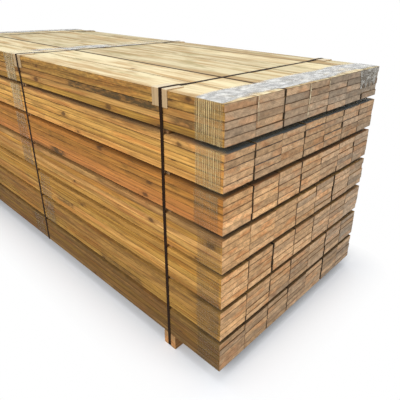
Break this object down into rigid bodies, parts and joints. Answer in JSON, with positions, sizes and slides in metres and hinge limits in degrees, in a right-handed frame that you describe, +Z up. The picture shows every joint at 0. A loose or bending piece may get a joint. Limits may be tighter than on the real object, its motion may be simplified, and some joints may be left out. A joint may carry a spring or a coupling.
{
  "type": "bundle of pine slats",
  "caption": "Rectangular bundle of sawn pine slats in stickered tiers on bearers, held by flat straps with edge protectors and bands of clear stretch film.",
  "frame": {"origin": "on the floor under the middle of the bundle", "axes": "+X along the slats towards the end that faces the camera, +Z up, -Y the long side that the picture shows"},
  "size_m": [2.7, 1.0728, 1.1087],
  "materials": {
    "slats": "rough sawn",
    "stickers": "rough sawn",
    "bearers": "rough sawn",
    "straps": "satin",
    "seals": "galvanised",
    "edge_protectors": "matte",
    "film": "glossy"
  },
  "bodies": {
    "root": {"slats_tier_1": "slats", "slats_tier_2": "slats", "slats_tier_3": "slats", "slats_tier_4": "slats", "slats_tier_5": "slats", "slats_tier_6": "slats", "slats_tier_7": "slats", "stickers_near": "stickers", "stickers_middle": "stickers", "stickers_far": "stickers", "bearer_near": "bearers", "bearer_far": "bearers", "strap_near": "straps", "strap_middle": "straps", "strap_far": "straps", "seal_near": "seals", "seal_middle": "seals", "seal_far": "seals", "edge_protector_near_left": "edge_protectors", "edge_protector_near_right": "edge_protectors", "edge_protector_middle_left": "edge_protectors", "edge_protector_middle_right": "edge_protectors", "edge_protector_far_left": "edge_protectors", "edge_protector_far_right": "edge_protectors", "film_near": "film", "film_middle": "film", "film_far": "film"}
  },
  "joints": []
}
